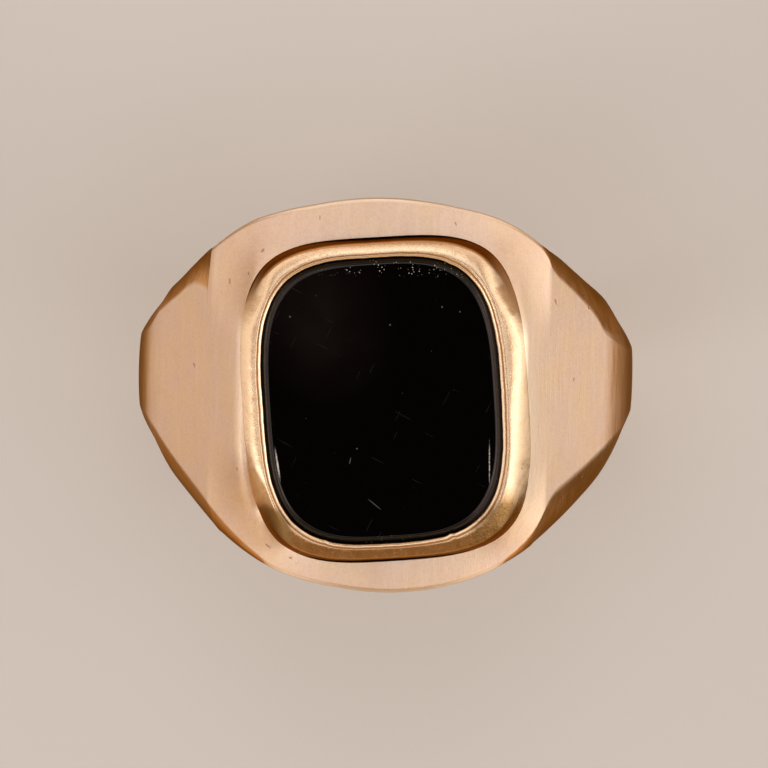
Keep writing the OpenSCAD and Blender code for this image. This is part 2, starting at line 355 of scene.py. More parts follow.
def grid_faces(n, m):
    i = np.repeat(np.arange(n), m)
    j = np.tile(np.arange(m), n)
    a, b = i * m + j, i * m + (j + 1) % m
    c, d = ((i + 1) % n) * m + (j + 1) % m, ((i + 1) % n) * m + j
    return np.stack([a, b, c, d], -1)


def tuples(faces):
    return [tuple(int(v) for v in f) for f in faces]


rows = band_rows()
n, m = rows.shape[:2]
band = new_mesh("cast_band_skin", rows.reshape(-1, 3), tuples(grid_faces(n, m)))

# the pocket that the collet is let into: tight at its left and right, a hair open at its ends
NO = 360
to = np.arange(NO) * 2 * math.pi / NO
cut = outward(outline(COLLET_A, COLLET_B, COLLET_N, COLLET_AT, to), 0.085 - 0.115 * sideness(to))
cv = np.concatenate([np.c_[cut, np.full(NO, FLOOR_Z)], np.c_[cut, np.full(NO, 14.0)]])
cf = [tuple(range(NO - 1, -1, -1)), tuple(range(NO, 2 * NO))] + [(j, (j + 1) % NO, NO + (j + 1) % NO, NO + j) for j in range(NO)]
cutter = new_mesh("cutter", cv, cf)


def cut_with(ob, tool):
    mod = ob.modifiers.new("cut", "BOOLEAN")
    mod.operation, mod.solver, mod.object = "DIFFERENCE", "EXACT", tool
    bpy.context.view_layer.update()
    deps = bpy.context.evaluated_depsgraph_get()
    me = bpy.data.meshes.new_from_object(ob.evaluated_get(deps))
    ob.modifiers.clear()
    old = ob.data
    ob.data = me
    bpy.data.meshes.remove(old)
    me.name = ob.name
    bpy.data.objects.remove(tool)


cut_with(band, cutter)
band.data.set_sharp_from_angle(angle=math.radians(38))


def points(ob):
    v = np.empty(len(ob.data.vertices) * 3)
    ob.data.vertices.foreach_get("co", v)
    return v.reshape(-1, 3) / MM


def attribute(ob, name, values):
    at = ob.data.attributes.new(name, "FLOAT", "POINT")
    at.data.foreach_set("value", np.asarray(values, np.float32))


def band_masks():
    p = points(band)
    t = np.degrees(np.arctan2(p[:, 0], p[:, 2]))
    r = np.hypot(p[:, 0], p[:, 2])
    a = np.abs(t)
    roll, edge, near, far = (np.zeros(len(p)) for _ in range(4))
    for sx in (1, -1):
        for sy in (1, -1):
            q = (np.sign(t + 1e-9) == sx) & (np.sign(p[:, 1] + 1e-9) == sy)
            w, ln = half_width(a[q], sx, sy), roll_len(a[q], sx, sy)
            s = (np.abs(p[q, 1]) - (w - ln)) / ln
            outer = r[q] > skin_r(t[q], p[q, 1], w) - roll_drop(a[q], sx, sy) - 0.03
            big = smooth((ln - 0.18) / 0.15)
            roll[q] = np.where(outer, smooth(s / 0.16), 0) * big
            far[q] = np.where(outer, np.maximum(smooth((s - 0.25) / 0.75) * big, smooth((a[q] - 70) / 12)), 1) * (r[q] > 9.15)
            edge[q] = np.where(outer, np.where(big > 0.5, 0.25 * np.exp(-((s - 0.02) * ln / 0.06) ** 2), smooth(s / 0.2)), 0)
    s, _ = around(p[:, 0], p[:, 1])
    near = np.exp(-np.maximum(s, 0) / 0.35) * (p[:, 2] > 8.5) * (r > 9.6)
    attribute(band, "rolled", roll)
    attribute(band, "edge", np.clip(edge, 0, 1))
    attribute(band, "near_collet", near)
    attribute(band, "hoop", smooth((a - np.where(t > 0, 60.5, 67)) / np.where(t > 0, 8, 9)) * (r > 9.6))
    attribute(band, "outer", far)


band_masks()

# ------------------------------------------------------------------ the collet
in_line = outline(STONE_A + 0.03, STONE_B + 0.03, STONE_N, STONE_AT, tc)
foot_line = outline(COLLET_A + DRAFT, COLLET_B + DRAFT, COLLET_N, COLLET_AT, tc)

rings = [np.c_[foot_line, np.full(NC, FLOOR_Z)], np.c_[foot_line, np.full(NC, FLOOR_Z + SOLDER_H)]]
edge_drop = rim_drop(0.0)
corner = 0.012 + 0.038 * (1 - SIDE)         # the rim's own rounded outer edge
for g in (0.8, 0.6, 0.4, 0.2):
    z = CREST_Z - edge_drop - corner
    rings.append(np.c_[out_line + (foot_line - out_line) * g, z + (FLOOR_Z + SOLDER_H - z) * g])
for e in (0, 20, 40, 60, 80):
    f = 0.045 * (1 - math.cos(math.radians(e)))
    rings.append(np.c_[out_line + (lip_line - out_line) * f, CREST_Z - rim_drop(f) - corner * (1 - math.sin(math.radians(e)))])
for f in (0.06, 0.085, 0.11, 0.135, 0.16, 0.185, 0.21, 0.25, 0.31, 0.38, 0.45, 0.52, 0.58, 0.63, 0.67, 0.70, 0.725):
    rings.append(np.c_[out_line + (lip_line - out_line) * f, CREST_Z - rim_drop(f)])
# the turned groove and the burnished lip inside it; distances in from the lip's own edge
for d_in, drop in ((0.225, 0.006), (0.208, 0.02), (0.195, 0.045), (0.183, 0.07), (0.172, 0.085), (0.16, 0.086), (0.148, 0.074), (0.137, 0.057), (0.124, 0.05),
                   (0.108, 0.053), (0.085, 0.065), (0.058, 0.081), (0.032, 0.10), (0.013, 0.13), (0.003, 0.19), (0.0, 0.26)):
    f = 1 - np.minimum(d_in / wide, 0.26)
    rings.append(np.c_[out_line + (lip_line - out_line) * f[:, None], np.full(NC, CREST_Z - drop)])
rings.append(np.c_[lip_line * 0.6 + in_line * 0.4, np.full(NC, TABLE_Z - BEVEL_H + 0.035)])
rings.append(np.c_[in_line, np.full(NC, TABLE_Z - BEVEL_H + 0.0)])
rings.append(np.c_[in_line, np.full(NC, FLOOR_Z)])
rings = np.array(rings)
nc = len(rings)
collet = new_mesh("bezel_collet_rim", rings.reshape(-1, 3), tuples(grid_faces(nc, NC)[:, ::-1]))
ring_no = np.repeat(np.arange(nc), NC)
ring_z = rings[:, :, 2].reshape(-1)
# painted shade: the collet's outer wall is to be darkened below the crest, far less at its left and right
attribute(collet, "wall", np.where(ring_no < 24, smooth((CREST_Z - 0.16 - ring_z) / 0.30), 0) * (1 - 0.85 * np.tile(SIDE, nc)))
g0 = nc - 3 - 16
attribute(collet, "groove", np.exp(-((ring_no - (g0 + 4.5)) / 2.2) ** 2))
deg = np.degrees(tc)
ring_f = np.clip(np.einsum("rci,ci->rc", rings[:, :, :2] - out_line, lip_line - out_line) / wide ** 2, 0, 1).reshape(-1)
# painted shade: the outer part of the collet's lower side, from lower left to lower right, is to be coloured dark
attribute(collet, "collet_bottom_shade", np.tile(smooth((deg - 216) / 7) * smooth((324 - deg) / 9), nc) * smooth((0.80 - ring_f) / 0.16))
attribute(collet, "lip", ((ring_no > g0 + 8) & (ring_no < nc - 3)).astype(float))

# ------------------------------------------------------------------ the stone
NS = 480
ts = np.arange(NS) * 2 * math.pi / NS
stone_z = FLOOR_Z + SEAT_T + CEMENT_T
prof = [(-0.12, stone_z), (0.0, stone_z + 0.12), (0.0, TABLE_Z - BEVEL_H - 0.05), (-0.01, TABLE_Z - BEVEL_H - 0.015), (-0.04, TABLE_Z - BEVEL_H + 0.02)]
for f in np.linspace(0.12, 0.86, 7):
    prof.append((-BEVEL_W * f, TABLE_Z - BEVEL_H * (1 - f)))
prof += [(-BEVEL_W * 0.94, TABLE_Z - 0.0152), (-BEVEL_W * 1.0, TABLE_Z - 0.0060), (-BEVEL_W * 1.06, TABLE_Z - 0.0016), (-BEVEL_W * 1.14, TABLE_Z)]
srings = [np.c_[outline(STONE_A + g, STONE_B + g, STONE_N, STONE_AT, ts), np.full(NS, z)] for g, z in prof]
edge = srings[-1]
for f in (0.75, 0.5, 0.25):
    r = edge.copy()
    r[:, :2] = STONE_AT + (edge[:, :2] - STONE_AT) * f
    srings.append(r)
sv = np.concatenate(srings)
sf = []
ns = len(srings)
for i in range(ns - 1):
    for j in range(NS):
        a, b = i * NS + j, i * NS + (j + 1) % NS
        sf.append((a, b, b + NS, a + NS))
sv = np.vstack([sv, [[STONE_AT[0], STONE_AT[1], TABLE_Z], [STONE_AT[0], STONE_AT[1], stone_z]]])
top, bottom = len(sv) - 2, len(sv) - 1
for j in range(NS):
    sf.append(((ns - 1) * NS + j, (ns - 1) * NS + (j + 1) % NS, top))
    sf.append(((j + 1) % NS, j, bottom))
stone = new_mesh("onyx_tablet", sv, sf)
sno = np.concatenate([np.repeat(np.arange(ns), NS), [ns, -1]])
attribute(stone, "bevel", ((sno >= 2) & (sno <= len(prof) - 2)).astype(float))

# ------------------------------------------------------------------ which piece stands for which
for ob, node, slot in ((band, "cast_band", "gold_satin"), (collet, "bezel_collet", "gold_polished"), (stone, "onyx_stone", "onyx")):
    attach(ob, "root")
    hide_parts(node)


# ------------------------------------------------------------------ node helpers
class Net:
    """Short names for making nodes in one tree."""

    def __init__(self, tree):
        self.t = tree

    def new(self, kind, **kw):
        nd = self.t.nodes.new(kind)
        for k, v in kw.items():
            setattr(nd, k, v)
        return nd

    def put(self, v, sock):
        if isinstance(v, bpy.types.NodeSocket):
            self.t.links.new(v, sock)
        elif isinstance(v, (int, float)):
            sock.default_value = v
        else:
            sock.default_value = tuple(v) + ((1.0,) if len(sock.default_value) == 4 and len(v) == 3 else ())

    def m(self, op, a, b=None, c=None):
        nd = self.new("ShaderNodeMath", operation=op)
        for i, v in enumerate((a, b, c)):
            if v is not None:
                self.put(v, nd.inputs[i])
        return nd.outputs[0]

    def add(self, *v):
        out = v[0]
        for w in v[1:]:
            out = self.m("ADD", out, w)
        return out

    def mul(self, *v):
        out = v[0]
        for w in v[1:]:
            out = self.m("MULTIPLY", out, w)
        return out

    def inv(self, v):
        return self.m("SUBTRACT", 1.0, v)

    def step(self, v, a, b, lo=0.0, hi=1.0):
        """lo below a, hi above b, smooth between; a may be above b."""
        nd = self.new("ShaderNodeMapRange", interpolation_type="SMOOTHSTEP")
        self.put(v, nd.inputs["Value"])
        nd.inputs["From Min"].default_value, nd.inputs["From Max"].default_value = a, b
        nd.inputs["To Min"].default_value, nd.inputs["To Max"].default_value = lo, hi
        return nd.outputs["Result"]

    def mix(self, f, a, b):
        nd = self.new("ShaderNodeMix", data_type="RGBA")
        self.put(f, nd.inputs[0])
        self.put(a, nd.inputs[6])
        self.put(b, nd.inputs[7])
        return nd.outputs[2]

    def lerp(self, f, a, b):
        nd = self.new("ShaderNodeMix", data_type="FLOAT")
        self.put(f, nd.inputs[0])
        self.put(a, nd.inputs[2])
        self.put(b, nd.inputs[3])
        return nd.outputs[0]

    def vec(self, op, a, b):
        nd = self.new("ShaderNodeVectorMath", operation=op)
        self.put(a, nd.inputs[0])
        self.put(b, nd.inputs[3] if op == "SCALE" else nd.inputs[1])
        return nd.outputs[1] if op in ("DOT_PRODUCT", "DISTANCE", "LENGTH") else nd.outputs[0]

    def place(self):
        """Places on the object in millimetres."""
        co = self.new("ShaderNodeTexCoord")
        return self.vec("SCALE", co.outputs["Object"], 1000.0)

    def xyz(self, v):
        nd = self.new("ShaderNodeSeparateXYZ")
        self.put(v, nd.inputs[0])
        return nd.outputs

    def turned(self, v, angle, scale, shift=(0, 0, 0)):
        """The place turned about Z by angle degrees and then stretched."""
        nd = self.new("ShaderNodeMapping", vector_type="POINT")
        self.put(v, nd.inputs["Vector"])
        nd.inputs["Rotation"].default_value = (0, 0, math.radians(angle))
        out = self.vec("MULTIPLY", nd.outputs[0], scale)
        return self.vec("ADD", out, shift)

    def noise(self, v, scale=1.0, detail=2.0, rough=0.5, dist=0.0):
        nd = self.new("ShaderNodeTexNoise")
        self.put(v, nd.inputs["Vector"])
        nd.inputs["Scale"].default_value, nd.inputs["Detail"].default_value = scale, detail
        nd.inputs["Roughness"].default_value, nd.inputs["Distortion"].default_value = rough, dist
        return nd.outputs["Fac"]

    def cells(self, v, scale):
        nd = self.new("ShaderNodeTexVoronoi", feature="F1")
        self.put(v, nd.inputs["Vector"])
        nd.inputs["Scale"].default_value = scale
        return nd.outputs["Distance"], nd.outputs["Color"]

    def attr(self, name):
        nd = self.new("ShaderNodeAttribute", attribute_name=name)
        return nd.outputs["Fac"]

    def spot(self, x, y, cx, cy, a, b, angle=0.0, soft=0.5):
        """1 inside a small ellipse at (cx, cy), 0 outside."""
        c, s = math.cos(math.radians(angle)), math.sin(math.radians(angle))
        dx, dy = self.m("SUBTRACT", x, cx), self.m("SUBTRACT", y, cy)
        u = self.m("DIVIDE", self.add(self.mul(dx, c), self.mul(dy, s)), a)
        v = self.m("DIVIDE", self.add(self.mul(dx, -s), self.mul(dy, c)), b)
        return self.step(self.m("SQRT", self.add(self.mul(u, u), self.mul(v, v))), 1.0, soft)

    def lines(self, v, angle, across, along, cut, width=0.05, shift=(0, 0, 0)):
        """Thin scratches lying at angle degrees from the finger axis."""
        f = self.noise(self.turned(v, angle, (across, along, across), shift), detail=1.0)
        return self.step(f, cut, cut + width)


def material(name):
    mat = bpy.data.materials.new(name)
    mat.use_nodes = True
    g = Net(mat.node_tree)
    return mat, g, mat.node_tree.nodes["Principled BSDF"]


def finish(g, b, color, rough, height_um=None):
    """Colour, roughness and a height in thousandths of a millimetre."""
    g.put(color, b.inputs["Base Color"])
    g.put(rough, b.inputs["Roughness"])
    if height_um is not None:
        bump = g.new("ShaderNodeBump")
        bump.inputs["Strength"].default_value = 1.0
        bump.inputs["Distance"].default_value = 1e-6
        g.put(height_um, bump.inputs["Height"])
        g.t.links.new(bump.outputs[0], b.inputs["Normal"])


def gold_band():
    mat, g, b = material("gold_satin")
    b.inputs["Metallic"].default_value = 1.0
    b.inputs["Specular Tint"].default_value = (0.84, 0.48, 0.20, 1)
    p = g.place()
    x, y, z = g.xyz(p)
    edge, near = g.attr("edge"), g.attr("near_collet")
    roll = g.m("MAXIMUM", g.attr("rolled"), g.mul(g.attr("hoop"), 0.9))
    r = g.m("SQRT", g.add(g.mul(x, x), g.mul(z, z)))
    bore = g.step(r, 9.25, 9.08)
    grain = g.noise(g.vec("MULTIPLY", p, (11, 0.9, 11)), detail=3.0, rough=0.6)
    fine = g.noise(p, 26.0, 2.0)
    matte = g.noise(p, 9.0, 3.0, 0.6)
    blotch = g.noise(p, 0.55, 3.0, 0.55, 0.4)
    streak = g.noise(g.vec("MULTIPLY", p, (4.5, 0.55, 4.5)), detail=2.0)
    hair = g.mul(g.lines(p, 0, 26, 0.42, 0.70, 0.04), 0.8)
    hair2 = g.lines(p, 38, 20, 0.7, 0.735, 0.03, (7, 3, 1))
    hair3 = g.lines(p, -52, 22, 0.8, 0.74, 0.03, (2, 9, 4))
    scratches = g.m("MAXIMUM", hair, g.m("MAXIMUM", hair2, hair3))
    up = g.step(z, 4.0, 4.6)
    nicks = None
    for cx, cy, a, c, ang in ((-5.06, 5.86, 0.05, 0.11, -40), (-5.63, 4.92, 0.045, 0.09, 0), (-6.42, 4.52, 0.05, 0.15, 5), (-5.59, 4.04, 0.045, 0.10, -10),
                              (7.15, 3.94, 0.05, 0.15, 20), (8.33, 4.05, 0.05, 0.05, 0), (8.55, 3.52, 0.045, 0.08, 10), (7.62, -4.33, 0.05, 0.13, 15),
                              (8.41, -3.62, 0.06, 0.06, 0), (-4.56, -6.45, 0.05, 0.2, 55), (-2.72, 7.3, 0.03, 0.12, 0), (-3.6, -6.9, 0.04, 0.07, 80),
                              (2.9, 7.2, 0.035, 0.1, 20), (-7.9, 0.8, 0.04, 0.12, 30), (8.0, 0.6, 0.04, 0.1, -25), (-5.9, -3.2, 0.04, 0.1, 10)):
        s = g.spot(x, y, cx, cy, a, c, ang)
        nicks = s if nicks is None else g.m("MAXIMUM", nicks, s)
    nicks = g.mul(nicks, up)
    dents = g.step(g.cells(g.vec("ADD", p, (3, 1, 5)), 1.15)[0], 0.11, 0.05)

    rose, straw, rolled_shade, rim_shade = (0.865, 0.69, 0.575), (0.885, 0.705, 0.525), (0.76, 0.40, 0.155), (0.31, 0.135, 0.034)
    col = g.mix(g.step(blotch, 0.36, 0.66), rose, straw)
    col = g.mix(g.mul(g.step(grain, 0.38, 0.72), 0.30), col, (0.97, 0.74, 0.55))
    col = g.mix(g.mul(g.step(matte, 0.62, 0.35), 0.18), col, (0.62, 0.38, 0.22))
    col = g.mix(g.mul(g.step(g.noise(p, 0.85, 4.0, 0.6, 0.6), 0.50, 0.72), 0.16), col, (0.74, 0.50, 0.32))
    col = g.mix(g.mul(g.step(g.noise(g.vec("MULTIPLY", p, (2.4, 0.35, 2.4)), detail=3.0, rough=0.6), 0.50, 0.70), 0.22), col, (0.97, 0.80, 0.66))
    upper = g.step(z, -4.5, 0.2)
    # painted shade: the rolled edges and the hoop's sides tinted dark copper, fully on the upper half, where they turn
    # away from the light
    col = g.mix(g.mul(g.m("MAXIMUM", g.attr("rolled"), g.mul(g.attr("hoop"), 0.8)), g.step(streak, 0.25, 0.7, 1.0, 0.72), g.add(0.35, g.mul(upper, 0.65))), col, rolled_shade)
    low_right_shade = g.mul(g.step(x, 3.0, 6.5), g.step(y, -0.6, -2.2), g.step(y, -5.0, -3.7))
    stain_and_shade = g.step(g.noise(g.turned(p, -35, (1.6, 0.8, 1.2)), detail=4.0, rough=0.65, dist=0.4), 0.46, 0.66)
    # painted shade: the rolled edge darker still at the lower right
    col = g.mix(g.mul(g.attr("rolled"), low_right_shade, 0.62), col, (0.30, 0.17, 0.065))
    # dark mottle on the rolled edges, stronger on the right: a stain pattern that also deepens their painted shade
    col = g.mix(g.mul(g.attr("rolled"), stain_and_shade, g.step(x, -2.0, 2.0, 0.18, 0.42)), col, (0.38, 0.21, 0.075))
    # painted shade: the far part of the rolled edges and the hoop's sides near black-brown on the upper half
    col = g.mix(g.mul(g.attr("outer"), g.mul(upper, 0.9)), col, rim_shade)
    # paler along the head's edges: burnished metal and a painted highlight
    col = g.mix(g.mul(edge, 0.45), col, (0.99, 0.86, 0.72))
    # paler beside the collet's left and right, most on the right: burnished metal and a painted highlight
    col = g.mix(g.mul(near, g.step(g.m("ABSOLUTE", x), 5.3, 5.7), g.step(x, -1.0, 1.0, 0.22, 0.95)), col, (1.0, 0.85, 0.66))
    col = g.mix(g.mul(bore, 0.35), col, (0.80, 0.55, 0.33))
    col = g.mix(g.mul(scratches, 0.25), col, (0.60, 0.36, 0.2))
    col = g.mix(g.mul(nicks, 0.55), col, (0.42, 0.22, 0.10))
    rough = g.add(0.44, g.mul(grain, 0.10), g.mul(matte, 0.12))
    rough = g.lerp(g.mul(roll, 0.8), rough, g.add(0.21, g.mul(streak, 0.14)))
    rough = g.lerp(g.mul(near, 0.6), rough, 0.30)
    rough = g.lerp(g.mul(edge, 0.7), rough, 0.25)
    rough = g.lerp(g.mul(bore, 0.8), rough, g.add(0.22, g.mul(matte, 0.12)))
    rough = g.lerp(g.mul(scratches, 0.5), rough, 0.30)
    height = g.add(g.mul(grain, 8.5), g.mul(fine, 1.6), g.mul(matte, 4.2), g.mul(streak, g.add(6.0, g.mul(roll, 16.0))),
                   g.mul(scratches, -3.0), g.mul(nicks, -26.0), g.mul(dents, -5.0))
    finish(g, b, col, rough, height)
    return mat


def gold_collet():
    mat, g, b = material("gold_polished")
    b.inputs["Metallic"].default_value = 1.0
    b.inputs["Specular Tint"].default_value = (0.84, 0.50, 0.22, 1)
    p = g.place()
    x, y, z = g.xyz(p)
    wall, groove, lip = g.attr("wall"), g.attr("groove"), g.attr("lip")
    mott = g.noise(p, 3.2, 4.0, 0.6, 0.5)
    fine = g.noise(p, 14.0, 3.0, 0.6)
    wave = g.noise(p, 1.5, 2.0)
    pit_d, pit_c = g.cells(p, 11.0)
    ragged = g.mul(g.m("SUBTRACT", g.noise(p, 2.4, 3.0), 0.5), 0.5)
    # two rough worn patches low on the collet, the lower right one pitted; their dark colour is also painted shade of
    # those corners
    worn = g.spot(g.add(x, ragged), y, 4.95, -5.35, 1.1, 1.5, -38, 0.62)
    worn_and_shaded2 = g.spot(g.add(x, ragged), y, -4.42, -5.55, 0.9, 1.3, 38, 0.62)
    collet_bottom_shade = g.attr("collet_bottom_shade")
    pits = g.mul(g.step(pit_d, 0.36, 0.16), g.add(0.08, g.mul(worn, 0.9), g.mul(g.step(g.noise(p, 0.8), 0.55, 0.7), 0.25)))
    scr = g.m("MAXIMUM", g.lines(p, 12, 20, 1.2, 0.70, 0.04), g.lines(p, -70, 22, 1.4, 0.71, 0.04, (5, 1, 2)))
    scuff = g.mul(g.m("MAXIMUM", g.spot(x, y, 6.05, -2.85, 0.22, 0.55, 0), g.spot(x, y, -5.55, -2.05, 0.22, 0.4, 0)), g.lines(p, 90, 16, 3.0, 0.56, 0.08))

    col = g.mix(g.step(mott, 0.35, 0.7), (0.92, 0.68, 0.45), (0.94, 0.72, 0.50))
    col = g.mix(g.mul(g.step(fine, 0.6, 0.4), 0.15), col, (0.72, 0.46, 0.22))
    # painted shade: the collet's lower side dark brown
    col = g.mix(g.mul(collet_bottom_shade, g.step(mott, 0.3, 0.7, 0.95, 0.8)), col, (0.43, 0.235, 0.082))
    # painted shade: darker at the collet's lower left, over a rough worn patch
    col = g.mix(g.mul(worn_and_shaded2, 0.9), col, (0.24, 0.145, 0.055))
    # painted shade: darker at the collet's lower right, over its worn, pitted patch
    col = g.mix(g.mul(worn, g.step(mott, 0.35, 0.65, 0.9, 0.6)), col, (0.28, 0.165, 0.062))
    # painted shade: the collet's outer wall near black
    col = g.mix(wall, col, (0.105, 0.040, 0.010))
    # darker in the turned groove: painted shade, with some tarnish
    col = g.mix(g.mul(groove, 0.72), col, (0.40, 0.20, 0.07))
    # paler on the burnished lip: a painted highlight along the lip line
    col = g.mix(g.mul(lip, 0.5), col, (0.98, 0.83, 0.62))
    col = g.mix(g.mul(pits, 0.45), col, (0.45, 0.27, 0.10))
    col = g.mix(g.mul(g.m("MAXIMUM", scr, scuff), 0.3), col, (0.55, 0.34, 0.15))
    rough = g.add(0.17, g.mul(mott, 0.10), g.mul(fine, 0.08), g.mul(worn, 0.08), g.mul(worn_and_shaded2, 0.12))
    rough = g.lerp(wall, rough, 0.45)
    rough = g.lerp(g.mul(groove, 0.8), rough, 0.42)
    rough = g.lerp(g.mul(lip, 0.6), rough, 0.12)
    height = g.add(g.mul(wave, 14.0), g.mul(mott, 7.0), g.mul(fine, 1.6), g.mul(pits, -14.0), g.mul(scr, -2.0), g.mul(scuff, -9.0),
                   g.mul(worn, g.mul(g.noise(p, 8.0, 2.0), 12.0)), g.mul(worn_and_shaded2, g.mul(fine, 5.0)))
    finish(g, b, col, rough, height)
    return mat


def onyx_black():
    mat, g, b = material("onyx")
    b.inputs["Specular IOR Level"].default_value = 0.36
    p = g.place()
    x, y, z = g.xyz(p)
    bevel = g.attr("bevel")
    cloud = g.noise(p, 0.5, 3.0)
    fine = g.noise(p, 11.0, 3.0, 0.6)
    smear = g.noise(g.turned(p, 30, (1.2, 4.0, 1.0)), detail=3.0)
    dust = g.mul(g.step(g.cells(p, 2.1)[0], 0.062, 0.03), g.step(g.noise(p, 0.9), 0.50, 0.60))
    chips = g.mul(bevel, g.step(g.cells(p, 5.5)[0], 0.22, 0.10), g.step(g.noise(p, 1.1), 0.48, 0.62))
    scr = g.m("MAXIMUM", g.lines(p, 25, 14, 0.5, 0.755, 0.02), g.lines(p, -64, 14, 0.5, 0.765, 0.02, (4, 2, 7)))
    marks = None
    for cx, cy, a, c, ang in ((-1.2, -2.67, 0.025, 0.17, -12), (-0.15, -4.45, 0.02, 0.42, 52), (-0.93, -2.16, 0.04, 0.04, 0), (-3.83, 3.24, 0.045, 0.045, 0),
                              (0.31, 3.01, 0.04, 0.04, 0), (2.44, 3.81, 0.04, 0.05, 0), (3.18, 3.63, 0.035, 0.035, 0)):
        s = g.spot(x, y, cx, cy, a, c, ang)
        marks = s if marks is None else g.m("MAXIMUM", marks, s)
    marks = g.m("MAXIMUM", g.mul(marks, 0.8), g.m("MAXIMUM", g.mul(dust, 0.35), g.mul(chips, 0.5)))
    flecks = g.mul(g.step(g.cells(p, 9.0)[0], 0.26, 0.12), g.step(g.noise(p, 2.2), 0.46, 0.58), g.step(y, 4.95, 5.25), g.step(y, 5.75, 5.5), g.step(x, 4.3, 3.4), g.step(x, -4.4, -3.6))
    # painted highlights: two thin white streaks on the stone's bevel at its lower left and right, together with real
    # whitish chips and specks along its top edge
    glints_and_flecks = g.m("MAXIMUM", g.mul(g.spot(x, y, -4.2, -2.9, 0.055, 0.85, 10.4, 0.2), g.step(fine, 0.40, 0.55, 0.45, 1.0)),
              g.mul(g.spot(x, y, 4.56, -2.6, 0.035, 1.1, 1.5, 0.2), g.step(fine, 0.40, 0.60, 0.25, 1.0)))
    glints_and_flecks = g.m("MAXIMUM", glints_and_flecks, g.mul(flecks, 0.8))
    # the table a touch paler over a cloudy patch at its upper left
    paler_patch = g.mul(g.spot(x, y, -2.6, 3.2, 3.4, 4.2, 20, 0.0), g.step(cloud, 0.3, 0.65, 0.6, 1.0))
    col = g.mix(paler_patch, (0.0006, 0.0006, 0.0008), (0.0075, 0.0055, 0.0058))
    # painted reflection: the stone's bevel greyed at its left and right, more on the right
    col = g.mix(g.mul(bevel, g.step(g.m("ABSOLUTE", x), 3.4, 4.3), g.step(x, -1.0, 1.0, 0.35, 0.9)), col, (0.030, 0.024, 0.024))
    col = g.mix(g.mul(marks, 0.30), col, (0.30, 0.28, 0.27))
    col = g.mix(glints_and_flecks, col, (0.72, 0.69, 0.67))
    rough = g.add(0.035, g.mul(g.step(smear, 0.45, 0.75), 0.05), g.mul(scr, 0.12), g.mul(marks, 0.35), g.mul(bevel, 0.05), g.mul(glints_and_flecks, 0.4))
    height = g.add(g.mul(cloud, 2.0), g.mul(fine, 0.12), g.mul(scr, -0.5), g.mul(marks, -3.0), g.mul(bevel, g.mul(fine, 1.2)))
    finish(g, b, col, rough, height)
    return mat


def gold_seat():
    mat, g, b = material("gold_seat")
    b.inputs["Metallic"].default_value = 1.0
    p = g.place()
    tool = g.noise(g.vec("MULTIPLY", p, (3.0, 3.0, 20.0)), detail=3.0)
    mott = g.noise(p, 5.0, 3.0)
    col = g.mix(g.step(mott, 0.35, 0.65), (0.80, 0.55, 0.34), (0.90, 0.64, 0.42))
    finish(g, b, col, g.add(0.36, g.mul(tool, 0.2)), g.add(g.mul(tool, 8.0), g.mul(mott, 6.0)))
    return mat


def cement():
    mat, g, b = material("setting_cement")
    p = g.place()
    lump = g.noise(p, 4.0, 4.0, 0.6)
    bub = g.step(g.cells(p, 6.0)[0], 0.3, 0.15)
    col = g.mix(g.step(lump, 0.3, 0.7), (0.030, 0.018, 0.010), (0.075, 0.050, 0.030))
    finish(g, b, g.mix(g.mul(bub, 0.5), col, (0.12, 0.09, 0.06)), g.add(0.45, g.mul(lump, 0.25)), g.add(g.mul(lump, 12.0), g.mul(bub, -8.0)))
    return mat


def solder():
    mat, g, b = material("gold_solder")
    b.inputs["Metallic"].default_value = 1.0
    p = g.place()
    flow = g.noise(p, 2.2, 3.0, 0.5, 0.8)
    pit = g.step(g.cells(p, 8.0)[0], 0.25, 0.12)
    col = g.mix(g.step(flow, 0.35, 0.65), (0.86, 0.66, 0.38), (0.70, 0.47, 0.24))
    finish(g, b, g.mix(g.mul(pit, 0.5), col, (0.35, 0.2, 0.08)), g.add(0.28, g.mul(flow, 0.2)), g.add(g.mul(flow, 14.0), g.mul(pit, -10.0)))
    return mat


for ob, mat in ((band, gold_band()), (collet, gold_collet()), (stone, onyx_black())):
    ob.data.materials.clear()
    ob.data.materials.append(mat)
for node, mat in (("seat_bearer", gold_seat()), ("stone_cement", cement()), ("collet_solder", solder())):
    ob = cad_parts[node]
    ob.data.materials.clear()
    ob.data.materials.append(mat)

# ------------------------------------------------------------------ floor, light and camera
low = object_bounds()[0][2]
fl = bpy.data.meshes.new("floor")
fl.from_pydata([(-3, -3, low), (3, -3, low), (3, 3, low), (-3, 3, low)], [], [(0, 1, 2, 3)])
floor = bpy.data.objects.new("floor", fl)
bpy.context.scene.collection.objects.link(floor)
pale, g, b = material("floor")
b.inputs["Base Color"].default_value = (0.70, 0.70, 0.69, 1)
b.inputs["Roughness"].default_value = 0.75
fl.materials.append(pale)
floor.visible_glossy = False
floor.visible_shadow = False

world = bpy.data.worlds.new("studio")
bpy.context.scene.world = world
world.use_nodes = True
world.node_tree.nodes.clear()
g = Net(world.node_tree)
co = g.new("ShaderNodeTexCoord")
way = co.outputs["Generated"]
dx, dy, dz = g.xyz(way)
DEG = math.pi / 180
el = g.m("ARCSINE", dz)
az_r = g.m("ARCTAN2", dy, dx)                                   # 0 at +X, growing towards +Y
az_l = g.m("ARCTAN2", dy, g.mul(dx, -1.0))                      # 0 at -X, growing towards +Y


def win(v, a0, a1, b1, b0):
    """0 outside a0..b0, 1 inside a1..b1, in degrees."""
    return g.mul(g.step(v, a0 * DEG, a1 * DEG), g.step(v, b0 * DEG, b1 * DEG))


